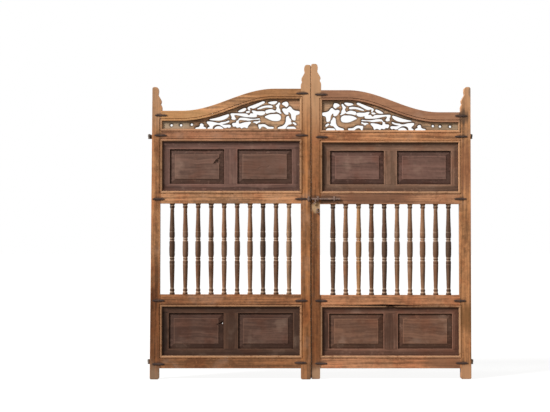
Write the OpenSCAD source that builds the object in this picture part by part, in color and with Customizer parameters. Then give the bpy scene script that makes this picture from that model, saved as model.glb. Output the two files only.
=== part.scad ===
// Pair of old teak gate leaves with turned spindles, raised panels, pierced bird carving and forged irons.
// Millimetres, +Z up, front towards -Y, origin on the floor between the two leaves.

/* [Leaves] */
// Width over both leaves and their hinge eyes
gate_w = 2400; // [2200:10:2600]
// Thickness of the stiles and rails
leaf_t = 48; // [44:1:60]
// How much wider the left leaf is than the right one
leaf_diff = 9.5; // [0:0.5:14]
// Gap between the two meeting stiles
meeting_gap = 1.6; // [1:0.1:6]
// Chamfer along the front of the meeting edges
meeting_chamfer = 3.5; // [1:0.5:5]
// Width of each outer stile
outer_stile_w = 82; // [74:1:100]
// Width of each meeting stile
inner_stile_w = 74; // [70:1:90]
// Height of the outer stiles over the left top rail's outer end
outer_finial_h = 175; // [160:1:215]
// Height of the right meeting stile over the left top rail's inner end
inner_finial_h = 183; // [165:1:220]
// How much shorter the left meeting stile is
left_inner_drop = 7; // [0:1:15]
// How far the head of each finial steps back
finial_step = 26; // [15:1:34]
// Height of the feet under the bottom rail
foot_h = 81; // [60:1:120]
// How much narrower the foot of the right outer stile is
foot_trim = 6; // [3:0.5:8]
// How much narrower the foot of the left outer stile is
left_foot_trim = 15; // [8:0.5:18]
// How much narrower the left outer stile is beside the spindles
left_trim = 9; // [4:0.5:12]
// How much the outer edge of the left outer stile leans in from its foot to its head
left_taper = 16; // [0:1:18]
// How far the head of the left outer stile stands out over its top rail
left_head_out = 5; // [0:0.5:8]
// How much narrower the head of the right outer stile is
right_head_trim = 10; // [0:1:12]
// How much shorter the feet of the right leaf are
right_foot_short = 3; // [0:1:12]
// How much narrower the right meeting stile is beside the spindles and at its foot
right_trim = 9; // [4:0.5:12]

/* [Rails] */
// Height of the bottom rail
bottom_rail_h = 84; // [70:1:110]
// Height of the foot rail under the spindles
foot_rail_h = 82; // [70:1:110]
// Height of the head rail over the spindles
head_rail_h = 85; // [70:1:110]
// Height of the waist rail under the carving
waist_rail_h = 76; // [66:1:100]
// Depth of the curved top rail
top_rail_h = 68; // [60:1:90]
// Climb of the top rail from the outer to the meeting stile
ogee_rise = 163; // [100:1:200]
// Level stretch of the top rail at the outer stile
ogee_start = 150; // [80:1:220]
// Level stretch of the top rail at the meeting stile
ogee_end = 192; // [100:1:260]
// How much lower the right leaf's foot and head rails sit
right_mid_drop = 4; // [0:1:10]
// How much lower the right leaf's waist and top rails sit
right_top_drop = 11; // [4:1:16]
// Length of the rail tenons
tenon_l = 50; // [30:1:56]
// Thickness of the rail tenons
tenon_t = 16; // [10:1:20]
// Shoulder over and under each rail tenon
tenon_shoulder = 14; // [8:1:20]

/* [Beads] */
// How far the beaded lips stand into the openings
lip = 8; // [5:0.5:12]
// Thickness of the front lips
lip_t = 12; // [8:1:14]
// Chamfer along the front lips
lip_chamfer = 4; // [2:0.5:5]
// Distance of the sunk line from the edge of the opening
quirk_in = 8; // [5:0.5:12]
// Width of the sunk line
quirk_w = 4; // [2:0.5:5]
// Depth of the sunk line
quirk_d = 4; // [2:0.5:5]

/* [Spindles] */
// Height of the spindle opening
spindle_h = 669; // [560:1:760]
// Largest diameter of a spindle
spindle_d = 42; // [34:0.5:50]
// Distance of the end spindles from the outer stiles
spindle_outer_margin = 80; // [60:1:110]
// Distance of the end spindles from the meeting stiles
spindle_inner_margin = 87; // [60:1:110]
// Diameter of the spindle tenons
peg_d = 20; // [14:0.5:24]
// Length of the spindle tenons
peg_l = 20; // [14:1:28]

/* [Panels] */
// Height of the lower panel opening
lower_panel_h = 374; // [320:1:440]
// Height of the upper panel opening
upper_panel_h = 382; // [330:1:440]
// Thickness of the inner panel frames and of the carving
panel_t = 20; // [18:0.5:24]
// Upper inner frame: width of the outer side member
upper_outer_m = 62; // [45:1:80]
// Upper inner frame: width of the side member at the meeting stile
upper_inner_m = 66; // [45:1:80]
// Upper inner frame: height of the top member
upper_top_m = 66; // [45:1:80]
// Upper inner frame: height of the bottom member
upper_bottom_m = 60; // [45:1:80]
// Upper inner frame: width of the muntin
upper_muntin = 96; // [70:1:120]
// Lower inner frame: width of the outer side member
lower_outer_m = 56; // [45:1:80]
// Lower inner frame: width of the side member at the meeting stile
lower_inner_m = 58; // [45:1:80]
// Lower inner frame: height of the top member
lower_top_m = 54; // [45:1:80]
// Lower inner frame: height of the bottom member
lower_bottom_m = 58; // [45:1:80]
// Lower inner frame: width of the muntin
lower_muntin = 106; // [70:1:120]
// Width of the bevel round each raised field
bevel_w = 38; // [25:1:50]
// How far the edges of the raised panels lie behind the front of the inner frames
panel_sink = 11; // [9:0.5:12]
// Rise of the bevel
bevel_rise = 8.5; // [6:0.5:9]
// Step between the bevel and the raised field
field_step = 2; // [1:0.5:2.5]
// Thickness of the panel tongue
tongue_t = 6; // [5:0.5:7]
// Depth of the grooves that hold the tongues
groove_d = 8; // [6:0.5:10]

/* [Carving] */
// Height of the carving's opening at the outer stile
fret_low_h = 73; // [66:1:100]
// Radius of the three round holes
fret_hole_r = 9; // [6:0.5:12]
// How far the cut-outs are opened up with the knife
fret_open = 1.5; // [0:0.1:2]
// Rounding of the carved edges
fret_round = 1.2; // [0.5:0.1:2]

/* [Irons] */
// Length of the joint cramps
cramp_l = 88; // [70:1:88]
// Height of the joint cramps
cramp_h = 11; // [8:0.5:14]
// How far the cramps stand out of the wood
cramp_t = 4; // [3:0.5:5]
// Side of the square prongs
prong_w = 5; // [4:0.5:6]
// Length of the prongs in the wood
prong_l = 14; // [10:1:18]
// How far the latch stands out of the leaf
front_proud = 18; // [17.5:0.5:24]

/* [Latch] */
// Height of the bolt over the lower edge of the right head rail
bolt_up = 39; // [34:1:50]
// Length of the bolt
bolt_l = 210; // [190:1:230]
// Height of the bolt's bar
bolt_h = 12; // [9:0.5:13]
// Depth of the bolt's bar
bolt_t = 8; // [6:0.5:8]
// Distance of the drawn bolt from the middle of the gate
bolt_x = 4; // [3:0.1:8]
// Sliding clearance round the bolt
bolt_fit = 0.5; // [0.4:0.1:0.8]
// Width of the guides and of the keeper
strap_w = 12; // [8:0.5:14]
// Distance of the keeper from the middle of the gate
keeper_x = 18; // [14:0.5:20]
// Extra room for the bolt in the keeper
keeper_room = 1; // [0.6:0.1:2]
// Radius of the pull ring at its wire's middle
ring_r = 13.5; // [12:0.5:15]
// Radius of the ring's wire
ring_wire_r = 3; // [2.5:0.1:3.2]
// Distance of the ring's middle under the right head rail
ring_down = 51; // [44:1:70]
// Distance of the ring from the middle of the gate
ring_x = 49; // [35:1:55]

/* [Hinges] */
// How far the hinge eyes stand out past each leaf
eye_reach = 20; // [18:0.5:24]
// Height of the hinge eyes
eye_h = 18; // [14:0.5:24]
// Radius of the hinge pins
pin_r = 5.5; // [4.5:0.1:6]
// Running clearance of the pins in the eyes
pin_fit = 0.08; // [0.04:0.01:0.1]
// Distance of the pins behind the middle of the leaf
pin_back = 10; // [6:0.5:12]
// Height of the lower hinges over the lower edge of the bottom rail
low_hinge_up = 44; // [34:1:60]
// Height of the upper hinges over the lower edge of the left waist rail
high_hinge_up = 28; // [10:1:40]
// Height of the pintle plates
plate_h = 110; // [90:1:140]
// Thickness of the pintle plates
plate_t = 3.6; // [3:0.1:6]
// How far the plates sit in behind the edge of the stiles
plate_in = 17; // [14:1:24]
// Distance between the two screw holes of a plate
screw_pitch = 80; // [60:1:90]
// Radius of the screw holes
screw_r = 3; // [2.5:0.1:4]

/* [Clearances] */
// Room at the edges of the inner frames and of the carving
edge_fit = 0.25; // [0.1:0.05:0.5]
// Joint lines of the inner frames
joint_fit = 0.2; // [0.1:0.05:0.4]
// Room between a tongue's edge and the bottom of its groove
tongue_fit = 0.8; // [0.4:0.1:0.9]
// Room between a swinging leaf and the pintle plates
swing_fit = 0.4; // [0.3:0.1:0.8]
// Room round tangs, prongs and shanks in the wood
seat_fit = 0.1; // [0.05:0.05:0.2]

/* [Hidden] */
$fn = 48;
spindle_n = 10;
front = -leaf_t / 2;
back = leaf_t / 2;
panel_front = front + lip_t;
panel_back = panel_front + panel_t;
tongue_front = panel_front + panel_sink;
tongue_back = tongue_front + tongue_t;
y_mid = (front_proud - swing_fit - plate_t) / 2;

function x_out(side) = -(gate_w / 2 - eye_reach) + side * leaf_diff / 2;
x_in = -meeting_gap / 2;
function open_0(side) = x_out(side) + outer_stile_w;
open_1 = x_in - inner_stile_w;
function open_w(side) = open_1 - open_0(side);
function spindle_x(side, n) =
  let (run = open_w(side) - spindle_outer_margin - spindle_inner_margin)
  open_0(side) + spindle_outer_margin + (n - 1) * run / (spindle_n - 1);

// Levels of one leaf: side -1 is the left one, side 1 the right one.
function mid_drop(side) = side > 0 ? right_mid_drop : 0;
function top_drop(side) = side > 0 ? right_top_drop : 0;
low_0 = foot_h + bottom_rail_h;
function low_1(side) = low_0 + lower_panel_h - mid_drop(side);
function turned_0(side) = low_1(side) + foot_rail_h;
function turned_1(side) = turned_0(side) + spindle_h;
function up_0(side) = turned_1(side) + head_rail_h;
function up_1(side) = up_0(side) + upper_panel_h - top_drop(side) + mid_drop(side);
function fret_0(side) = up_1(side) + waist_rail_h;
function fret_1(side) = fret_0(side) + fret_low_h;
function top_edge(side) = fret_1(side) + top_rail_h;
outer_h = top_edge(-1) + outer_finial_h;
function inner_h(side) = top_edge(-1) + ogee_rise + inner_finial_h - (side < 0 ? left_inner_drop : 0);

// The curve of the top rail: height gained at a distance from the outer stile, and its slope.
function ogee_run(side) = open_w(side) - ogee_start - ogee_end;
function ogee_share(side, u) = min(1, max(0, (u - ogee_start) / ogee_run(side)));
function climb(side, u) = ogee_rise * (1 - cos(180 * ogee_share(side, u))) / 2;
function slope(side, u) = ogee_rise * PI / 2 * sin(180 * ogee_share(side, u)) / ogee_run(side);
// A line that follows the curve, a given depth under the rail's upper edge.
function curve_z(side, u, depth) =
  let (tilt = slope(side, u)) top_edge(side) + climb(side, u) - depth * sqrt(1 + tilt * tilt);
function curve_u(side) = [for (i = [0 : 24]) ogee_start + ogee_run(side) * i / 24];
function curve_back(side) = [for (i = [0 : 24]) ogee_start + ogee_run(side) * (24 - i) / 24];

// Smooth curves through given points.
function spline(a, b, c, d, t) =
  (2 * b + (c - a) * t + (2 * a - 5 * b + 4 * c - d) * t * t + (3 * b - 3 * c + d - a) * t * t * t) / 2;
function smooth_loop(p, k) =
  let (n = len(p))
  [for (i = [0 : n - 1], j = [0 : k - 1])
    spline(p[(i + n - 1) % n], p[i], p[(i + 1) % n], p[(i + 2) % n], j / k)];
function smooth_line(p, k) =
  let (n = len(p) - 1)
  [for (i = [0 : n - 1], j = [0 : (i == n - 1 ? k : k - 1)])
    spline(p[max(0, i - 1)], p[i], p[i + 1], p[min(n, i + 2)], j / k)];

hinge_zs = [foot_h + low_hinge_up, up_1(-1) + high_hinge_up];
eye_r = eye_reach / 2 + 0.5;
lug_r = eye_r - 1.5;
function pin_x(side) = x_out(side) - eye_reach + eye_r;
tang_l = 28;
tang_h = eye_h - 6;
tang_t = 8;
lug_h = 14.7;

bolt_z = turned_1(1) + bolt_up;
ring_z = turned_1(1) - ring_down;
bolt_back = front - 6;
bolt_front = bolt_back - bolt_t;
strap_front = front - front_proud;
strap_in = bolt_front - bolt_fit;
foot_t = 4;
guide_wall = 3.6;
strap_reach = 19;
guide_xs = [bolt_x + 45, bolt_x + bolt_l - 44];
handle_x = 27;
ring_y = front - 9;
ring_eye_r = 6;
ring_eye_wire_r = 2.2;
ring_hang = 0.4;
ring_pin_z = ring_z + ring_r;
ring_eye_z = ring_pin_z - ring_wire_r - ring_hang + ring_eye_r - ring_eye_wire_r;

teak = "#9a6a42";
dark_teak = "#5c4538";
turned_teak = "#6b4a36";
iron = "#3b312b";

// Helpers.
// A piece of one leaf, drawn as on the left leaf.
module on_leaf(side) {
  translate([0, y_mid, 0]) {
    if (side > 0) mirror([1, 0, 0]) children();
    else children();
  }
}

module board(x0, x1, y0, y1, z0, z1) {
  translate([x0, y0, z0]) cube([x1 - x0, y1 - y0, z1 - z0]);
}

// An outline in X and Z made solid between two depths.
module plate(y0, y1) {
  translate([0, y1, 0]) rotate([90, 0, 0]) linear_extrude(y1 - y0) children();
}

// A section in Y and Z drawn out along X.
module along_x(x0, x1) {
  translate([x0, 0, 0]) rotate([90, 0, 90]) linear_extrude(x1 - x0) children();
}

// A section in X and Y drawn out along Z.
module along_z(z0, z1) {
  translate([0, 0, z0]) linear_extrude(z1 - z0) children();
}

// Mitred lips on a stile: way is the direction of the opening.
module stile_lips(x, way, z0, z1) {
  outline = [
    [x - way, z0], [x, z0], [x + way * lip, z0 + lip], [x + way * lip, z1 - lip], [x, z1], [x - way, z1]];
  intersection() {
    plate(front, panel_front) polygon(outline);
    along_z(z0 - 1, z1 + 1) polygon([
      [x - 2 * way, front], [x + way * (lip - lip_chamfer), front],
      [x + way * lip, front + lip_chamfer], [x + way * lip, panel_front], [x - 2 * way, panel_front]]);
  }
  plate(panel_back, back) polygon(outline);
}

// Mitred lips on a straight rail.
module rail_lips(side, z, way) {
  outline = [
    [open_0(side), z - way], [open_0(side), z], [open_0(side) + lip, z + way * lip],
    [open_1 - lip, z + way * lip], [open_1, z], [open_1, z - way]];
  intersection() {
    plate(front, panel_front) polygon(outline);
    along_x(open_0(side) - 1, open_1 + 1) polygon([
      [front, z - 2 * way], [front, z + way * (lip - lip_chamfer)],
      [front + lip_chamfer, z + way * lip], [panel_front, z + way * lip], [panel_front, z - 2 * way]]);
  }
  plate(panel_back, back) polygon(outline);
}

// Lip along the curved lower edge of the top rail.
module curved_lip(side, y0, y1, reach) {
  deep = top_rail_h + reach;
  plate(y0, y1) polygon(concat(
    [[open_0(side), curve_z(side, 0, top_rail_h - 1)], [open_0(side), curve_z(side, 0, top_rail_h)]],
    [[open_0(side) + reach, curve_z(side, 0, deep)]],
    [for (u = curve_u(side)) [open_0(side) + u, curve_z(side, u, deep)]],
    [[open_1 - reach, curve_z(side, open_w(side), deep)]],
    [[open_1, curve_z(side, open_w(side), top_rail_h)]],
    [[open_1, curve_z(side, open_w(side), top_rail_h - 1)]],
    [for (u = curve_back(side)) [open_0(side) + u, curve_z(side, u, top_rail_h - 1)]]));
}

// Outlines of the three beaded openings, grown by a margin.
module box_outline(side, z0, z1, grow) {
  polygon([
    [open_0(side) - grow, z0 - grow], [open_1 + grow, z0 - grow],
    [open_1 + grow, z1 + grow], [open_0(side) - grow, z1 + grow]]);
}

module curve_outline(side, grow) {
  depth = top_rail_h - grow;
  polygon(concat(
    [[open_0(side) - grow, fret_0(side) - grow], [open_1 + grow, fret_0(side) - grow]],
    [[open_1 + grow, curve_z(side, open_w(side), depth)]],
    [for (u = curve_back(side)) [open_0(side) + u, curve_z(side, u, depth)]],
    [[open_0(side) - grow, curve_z(side, 0, depth)]]));
}

// Sunk lines round the beaded openings.
module quirks(side) {
  plate(front - 1, front + quirk_d) {
    difference() {
      box_outline(side, low_0, low_1(side), quirk_in + quirk_w);
      box_outline(side, low_0, low_1(side), quirk_in);
    }
    difference() {
      box_outline(side, up_0(side), up_1(side), quirk_in + quirk_w);
      box_outline(side, up_0(side), up_1(side), quirk_in);
    }
    difference() {
      curve_outline(side, quirk_in + quirk_w);
      curve_outline(side, quirk_in);
    }
  }
}

// Places of the joint cramps, from the bottom rail up: how far each sits from its joint, at the outer
// and at the meeting stile. The bolt takes the place of one at the right leaf's meeting stile.
function cramp_shifts(side) = side < 0
  ? [[[-20, -10], [-5, -1]], [[-18, -2], [3, -3]], [[-20, -9], [0, -8]],
     [[-5, -2], [5, -2]], [[-2, 1], [8, 0]]]
  : [[[-11, -3], [3, -5]], [[2, 0], [2, 0]], [[-4, -4], [0, 0]],
     [[-11, 0], [-4, -4]], [[-11, 7], [0, 2]]];
function rail_mids(side) = [
  foot_h + bottom_rail_h / 2,
  low_1(side) + foot_rail_h / 2,
  turned_1(side) + head_rail_h / 2,
  up_1(side) + waist_rail_h / 2,
  fret_1(side) + top_rail_h / 2];
function cramps(side) = [
  for (i = [0 : 4]) let (at = rail_mids(side)[i], shift = cramp_shifts(side)[i]) each [
    [open_0(side), at] + shift[0],
    if (!(side > 0 && i == 2)) [open_1, at + (i == 4 ? ogee_rise : 0)] + shift[1]]];
prong_x = cramp_l / 2 - 9;

module prongs(side, fit) {
  w = prong_w / 2 + fit;
  for (c = cramps(side), way = [-1, 1])
    translate([c[0] + way * prong_x, 0, c[1]]) board(-w, w, front - 1, front + prong_l + fit, -w, w);
}

// Tenons of one rail, or their mortises with some room at the end.
module tenons(side, z_outer, z_inner, h, room) {
  board(open_0(side) - tenon_l - room, open_0(side) + 5, -tenon_t / 2, tenon_t / 2,
    z_outer + tenon_shoulder, z_outer + h - tenon_shoulder);
  board(open_1 - 5, open_1 + tenon_l + room, -tenon_t / 2, tenon_t / 2,
    z_inner + tenon_shoulder, z_inner + h - tenon_shoulder);
}

module mortises(side) {
  tenons(side, foot_h, foot_h, bottom_rail_h, 1);
  tenons(side, low_1(side), low_1(side), foot_rail_h, 1);
  tenons(side, turned_1(side), turned_1(side), head_rail_h, 1);
  tenons(side, up_1(side), up_1(side), waist_rail_h, 1);
  tenons(side, fret_1(side), fret_1(side) + ogee_rise, top_rail_h, 1);
}

// Outline of a stile: its carved head, its foot and its straight outer edge.
function finial(w, h) =
  let (head = w - finial_step, k = inner_finial_h / 183)
  smooth_line([
    for (p = [[w, 148], [w - 4, 136], [w - 10, 126], [w - 7, 117], [w - 5, 107], [w - 6, 98], [w - 12, 87],
      [head + 5, 71], [head - 2, 58], [head - 1, 47], [head + 1, 33], [head, 18], [head - 5, 6],
      [head - 16, 0]])
    [p[0], h - p[1] * k]], 3);

// The inner edge stands back at the foot and may do so beside the spindles. The head, over the rail that
// ends at z_rail, may stand out or back, and the outer edge may lean in.
module stile_body(side, x, way, w, h, z_rail, foot_back, spindle_back, head_out, taper) {
  foot_round = 7;
  base = side > 0 ? right_foot_short : 0;
  plate(front, back) polygon([
    for (p = concat(
      [[foot_round, base], [w - foot_back - foot_round, base], [w - foot_back, base + foot_round]],
      [[w - foot_back, foot_h - 0.5]],
      [[w, foot_h], [w, turned_0(side)], [w - spindle_back, turned_0(side) + 0.5]],
      [[w - spindle_back, turned_1(side) - 0.5], [w, turned_1(side)]],
      head_out == 0 ? [] : [[w, z_rail + 0.3], [w + head_out, z_rail + 0.8]],
      finial(w + head_out, h),
      [[taper + 12, h], [taper + 4, h - 3], [taper, h - 12], [0, base + foot_round]]))
    [x - way * (w - p[0]), p[1]]]);
}

module outer_stile(side) {
  color(teak) on_leaf(side) difference() {
    union() {
      if (side < 0)
        stile_body(side, open_0(side), 1, outer_stile_w, outer_h, top_edge(side),
          left_foot_trim, left_trim, left_head_out, left_taper);
      else
        stile_body(side, open_0(side), 1, outer_stile_w, outer_h, top_edge(side),
          foot_trim, 0, -right_head_trim, 0);
      stile_lips(open_0(side), 1, low_0, low_1(side));
      stile_lips(open_0(side), 1, up_0(side), up_1(side));
      stile_lips(open_0(side), 1, fret_0(side), fret_1(side));
    }
    mortises(side);
    quirks(side);
    prongs(side, seat_fit);
    for (z = hinge_zs) {
      translate([pin_x(side), pin_back, z - 1 - swing_fit])
        cylinder(r = eye_r + swing_fit, h = eye_h + 2 * swing_fit);
      tang(side, z, seat_fit);
    }
  }
}

module inner_stile(side) {
  trim = side > 0 ? right_trim : 0;
  color(teak) on_leaf(side) difference() {
    union() {
      stile_body(side, open_1, -1, inner_stile_w, inner_h(side), top_edge(side) + ogee_rise,
        trim, trim, 0, 0);
      stile_lips(open_1, -1, low_0, low_1(side));
      stile_lips(open_1, -1, up_0(side), up_1(side));
      stile_lips(open_1, -1, fret_0(side), fret_1(side) + ogee_rise);
    }
    mortises(side);
    quirks(side);
    prongs(side, seat_fit);
    along_z(-1, inner_h(side) + 1) polygon([
      [x_in - meeting_chamfer - 1, front - 1], [x_in + 1, front - 1],
      [x_in + 1, front + meeting_chamfer + 1]]);
    if (side > 0) mirror([1, 0, 0]) ring_shank(seat_fit);
  }
}

// Rails between the stiles.
module straight_rail(side, z, h) {
  difference() {
    union() {
      board(open_0(side), open_1, front, back, z, z + h);
      tenons(side, z, z, h, 0);
      children();
    }
    quirks(side);
    prongs(side, seat_fit);
  }
}

module peg_bores(side, z0, z1) {
  for (n = [1 : spindle_n])
    translate([spindle_x(side, n), 0, z0])
      cylinder(d = peg_d + 2 * seat_fit, h = z1 - z0);
}

module bottom_rail(side) {
  color(teak) on_leaf(side) straight_rail(side, foot_h, bottom_rail_h) rail_lips(side, low_0, 1);
}

module foot_rail(side) {
  z = low_1(side);
  color(teak) on_leaf(side) difference() {
    straight_rail(side, z, foot_rail_h) rail_lips(side, z, -1);
    peg_bores(side, z + foot_rail_h - peg_l - seat_fit, z + foot_rail_h + 1);
    if (side > 0) foot_rail_break(side, z);
  }
}

// The broken edge of the right leaf's foot rail.
module foot_rail_break(side, z) {
  x = open_0(side) + open_w(side) / 2 + 9;
  plate(front - 1, panel_front - 2) polygon([
    for (p = [[-44, -12], [30, -12], [22, 1], [9, 7], [-3, 3], [-14, 7], [-27, 5], [-34, -2]])
    [x + p[0], z + p[1]]]);
}

module head_rail(side) {
  z = turned_1(side);
  color(teak) on_leaf(side) difference() {
    straight_rail(side, z, head_rail_h) rail_lips(side, z + head_rail_h, 1);
    peg_bores(side, z - 1, z + peg_l + seat_fit);
  }
}

module waist_rail(side) {
  z = up_1(side);
  color(teak) on_leaf(side) straight_rail(side, z, waist_rail_h) {
    rail_lips(side, z, -1);
    rail_lips(side, z + waist_rail_h, 1);
  }
}

module top_rail(side) {
  cut = lip_chamfer / 3;
  color(teak) on_leaf(side) difference() {
    union() {
      plate(front, back) polygon(concat(
        [[open_0(side), curve_z(side, 0, 0)], [open_0(side), curve_z(side, 0, top_rail_h)]],
        [for (u = curve_u(side)) [open_0(side) + u, curve_z(side, u, top_rail_h)]],
        [[open_1, curve_z(side, open_w(side), top_rail_h)], [open_1, curve_z(side, open_w(side), 0)]],
        [for (u = curve_back(side)) [open_0(side) + u, curve_z(side, u, 0)]]));
      tenons(side, fret_1(side), fret_1(side) + ogee_rise, top_rail_h, 0);
      curved_lip(side, front, front + cut, lip - 2 * cut);
      curved_lip(side, front + cut, front + 2 * cut, lip - cut);
      curved_lip(side, front + 2 * cut, panel_front, lip);
      curved_lip(side, panel_back, back, lip);
    }
    quirks(side);
    prongs(side, seat_fit);
  }
}

// Pierced carving. The cut-outs are drawn for an opening of this size and stretch with it.
carving_w = 1022;
carving_h = 236;
cut_outs = [
  [[249, 2], [252, 17], [270, 21], [282, 31], [283, 43], [294, 48], [307, 39], [306, 24], [318, 21],
   [327, 2]],
  [[333, 58], [341, 63], [377, 60], [410, 52], [431, 52], [437, 43], [465, 38], [496, 39], [508, 32],
   [504, 22], [494, 18], [485, 22], [465, 16], [444, 29], [421, 41], [395, 39], [377, 27], [369, 2],
   [338, 2], [341, 19], [354, 24], [349, 38], [337, 48]],
  [[385, 8], [400, 24], [421, 28], [441, 21], [459, 3], [428, 2], [397, 2]],
  [[350, 78], [384, 85], [428, 97], [469, 111], [490, 116], [494, 107], [481, 91], [454, 77], [421, 71],
   [377, 73]],
  [[430, 49], [437, 57], [469, 61], [494, 70], [494, 60], [469, 50], [444, 45]],
  [[507, 118], [518, 123], [575, 122], [622, 121], [634, 111], [647, 112], [653, 123], [675, 122],
   [669, 133], [663, 144], [682, 143], [702, 138], [737, 139], [756, 136], [759, 124], [748, 114],
   [726, 110], [697, 115], [699, 101], [682, 96], [649, 96], [608, 99], [575, 107], [542, 113],
   [533, 108], [536, 96], [544, 85], [535, 77], [514, 82], [516, 97]],
  [[519, 49], [546, 54], [550, 68], [563, 73], [568, 84], [579, 90], [612, 90], [645, 84], [682, 82],
   [717, 86], [718, 79], [671, 77], [641, 71], [608, 74], [575, 76], [565, 67], [567, 49], [577, 47],
   [606, 56], [649, 61], [653, 52], [637, 35], [628, 15], [616, 20], [601, 20], [586, 13], [575, 23],
   [555, 18], [544, 28], [527, 27]],
  [[671, 58], [683, 63], [706, 64], [721, 71], [722, 59], [711, 56], [697, 46], [688, 54]],
  [[711, 38], [724, 41], [752, 43], [769, 35], [788, 24], [819, 22], [818, 10], [802, 5], [778, 10],
   [763, 21], [746, 27], [733, 24], [725, 13], [718, 10]],
  [[758, 97], [774, 108], [799, 116], [829, 118], [856, 117], [874, 101], [869, 75], [844, 68],
   [811, 71], [783, 83]],
  [[763, 142], [777, 149], [805, 154], [827, 145], [837, 136], [825, 131], [796, 129], [769, 123]],
  [[702, 155], [716, 165], [752, 178], [792, 182], [813, 177], [808, 166], [768, 168], [726, 157]],
  [[632, 163], [641, 172], [671, 183], [708, 198], [746, 212], [757, 203], [733, 189], [699, 170],
   [674, 160], [652, 165], [646, 159], [651, 148], [643, 146], [636, 154]],
  [[562, 135], [579, 149], [606, 161], [619, 160], [616, 147], [594, 135]],
  [[618, 134], [633, 141], [647, 139], [646, 131], [631, 127]],
  [[783, 202], [807, 210], [848, 212], [833, 194], [809, 191]],
  [[838, 179], [852, 192], [862, 204], [869, 196], [862, 179], [862, 163], [869, 151], [872, 133],
   [880, 127], [874, 122], [858, 129], [837, 141], [844, 154], [846, 168]],
  [[885, 192], [897, 205], [922, 208], [930, 185], [916, 171], [905, 180]],
  [[886, 152], [899, 160], [918, 157], [931, 167], [941, 174], [952, 166], [963, 152], [981, 143],
   [1010, 138], [1010, 119], [988, 111], [983, 93], [979, 72], [958, 79], [953, 99], [950, 117],
   [940, 131], [930, 134], [929, 118], [915, 115], [900, 126]],
  [[916, 96], [932, 104], [937, 91], [950, 74], [947, 63], [955, 51], [946, 43], [931, 40], [915, 21],
   [903, 3], [877, 2], [853, 13], [862, 22], [886, 29], [904, 43], [913, 63]],
  [[961, 54], [974, 57], [988, 45], [984, 36]],
  [[918, 4], [924, 21], [947, 24], [974, 23], [989, 4], [958, 0]]];
function round_holes(side) = side < 0 ? [[73, 35], [143, 35], [222, 40]] : [[67, 36], [141, 37], [194, 40]];

module fretwork(side) {
  stretch = [open_w(side) / carving_w, (fret_low_h + ogee_rise) / carving_h];
  color(teak) on_leaf(side) plate(panel_front, panel_back)
  offset(r = -fret_round) offset(delta = fret_round) difference() {
    curve_outline(side, -edge_fit);
    intersection() {
      curve_outline(side, -lip - 1);
      translate([open_0(side), fret_0(side)]) {
        offset(delta = fret_open) scale(stretch) for (p = cut_outs) polygon(smooth_loop(p, 3));
        for (c = round_holes(side)) translate([c[0] * stretch[0], c[1] * stretch[1]])
          circle(r = fret_hole_r, $fn = 24);
      }
    }
  }
}

// Inner frames: two rails, two side members and a muntin round two grooved openings.
function field_w(side, outer_m, inner_m, muntin) = (open_w(side) - outer_m - inner_m - muntin) / 2;

module panel_frame(side, z0, z1, outer_m, inner_m, bottom_m, top_m, muntin) {
  w = field_w(side, outer_m, inner_m, muntin);
  x1 = open_0(side) + outer_m;
  x2 = x1 + w;
  x3 = x2 + muntin;
  x4 = x3 + w;
  lo = z0 + bottom_m;
  hi = z1 - top_m;
  difference() {
    union() {
      board(open_0(side) + edge_fit, open_1 - edge_fit, panel_front, panel_back, z0 + edge_fit, lo);
      board(open_0(side) + edge_fit, open_1 - edge_fit, panel_front, panel_back, hi, z1 - edge_fit);
      board(open_0(side) + edge_fit, x1, panel_front, panel_back, lo + joint_fit, hi - joint_fit);
      board(x2, x3, panel_front, panel_back, lo + joint_fit, hi - joint_fit);
      board(x4, open_1 - edge_fit, panel_front, panel_back, lo + joint_fit, hi - joint_fit);
    }
    board(x1 - groove_d, x2 + groove_d, tongue_front, tongue_back, lo - groove_d, hi + groove_d);
    board(x3 - groove_d, x4 + groove_d, tongue_front, tongue_back, lo - groove_d, hi + groove_d);
  }
}

// A raised field with its bevel and its tongue.
module raised_panel(x0, x1, z0, z1) {
  t = groove_d - tongue_fit;
  low = tongue_front;
  high = low - bevel_rise;
  core = low + 1;
  b = bevel_w;
  e = 1;
  board(x0 - t, x1 + t, low, tongue_back, z0 - t, z1 + t);
  intersection() {
    along_z(z0, z1) polygon([
      [x0 + e, core], [x0 + e, low], [x0 + b, high], [x1 - b, high], [x1 - e, low], [x1 - e, core]]);
    along_x(x0, x1) polygon([
      [core, z0 + e], [low, z0 + e], [high, z0 + b], [high, z1 - b], [low, z1 - e], [core, z1 - e]]);
  }
  board(x0 + b, x1 - b, high - field_step, core, z0 + b, z1 - b);
}

module upper_panel_frame(side) {
  color(dark_teak) on_leaf(side)
    panel_frame(side, up_0(side), up_1(side),
      upper_outer_m, upper_inner_m, upper_bottom_m, upper_top_m, upper_muntin);
}

module upper_panel(side, x) {
  w = field_w(side, upper_outer_m, upper_inner_m, upper_muntin);
  raised_panel(x, x + w, up_0(side) + upper_bottom_m, up_1(side) - upper_top_m);
}

// A chip has broken out of the field's edge in the left leaf's outer upper panel.
module upper_panel_outer(side) {
  x = open_0(side) + upper_outer_m;
  chip_x = x + field_w(side, upper_outer_m, upper_inner_m, upper_muntin) - bevel_w;
  chip_z = up_1(side) - upper_top_m - bevel_w - 14;
  color(dark_teak) on_leaf(side) difference() {
    upper_panel(side, x);
    if (side < 0) plate(front, tongue_front - bevel_rise / 2) polygon([
      for (p = [[3, -2], [-7, -12], [-14, -18], [-30, -30], [-36, -44], [-50, -53], [-20, -54], [3, -53]])
      [chip_x + p[0], chip_z + p[1]]]);
  }
}

module upper_panel_inner(side) {
  w = field_w(side, upper_outer_m, upper_inner_m, upper_muntin);
  color(dark_teak) on_leaf(side) upper_panel(side, open_1 - upper_inner_m - w);
}

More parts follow.
